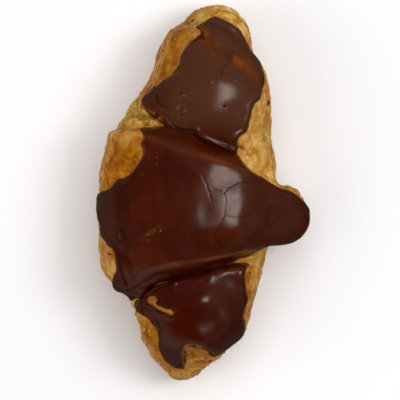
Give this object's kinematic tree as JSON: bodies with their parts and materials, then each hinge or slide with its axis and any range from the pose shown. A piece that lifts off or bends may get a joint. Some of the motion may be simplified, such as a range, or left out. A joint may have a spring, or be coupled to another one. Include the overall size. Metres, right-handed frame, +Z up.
{
  "type": "chocolate-iced croissant",
  "caption": "Rolled butter croissant with a tongue of dough standing out at one side and coats of set dark chocolate icing over its top.",
  "frame": {"origin": "on the table, under the middle of the croissant's length and width", "axes": "+Z up; +Y along the roll, towards the tip with the visible end cap; +X towards the side where the tongue stands out"},
  "size_m": [0.0917, 0.1598, 0.052],
  "materials": {
    "baked_pastry": "matte",
    "chocolate": "satin"
  },
  "bodies": {
    "root": {"pastry": "baked_pastry", "icing_upper": "chocolate", "icing_middle": "chocolate", "icing_lower": "chocolate"}
  },
  "joints": []
}
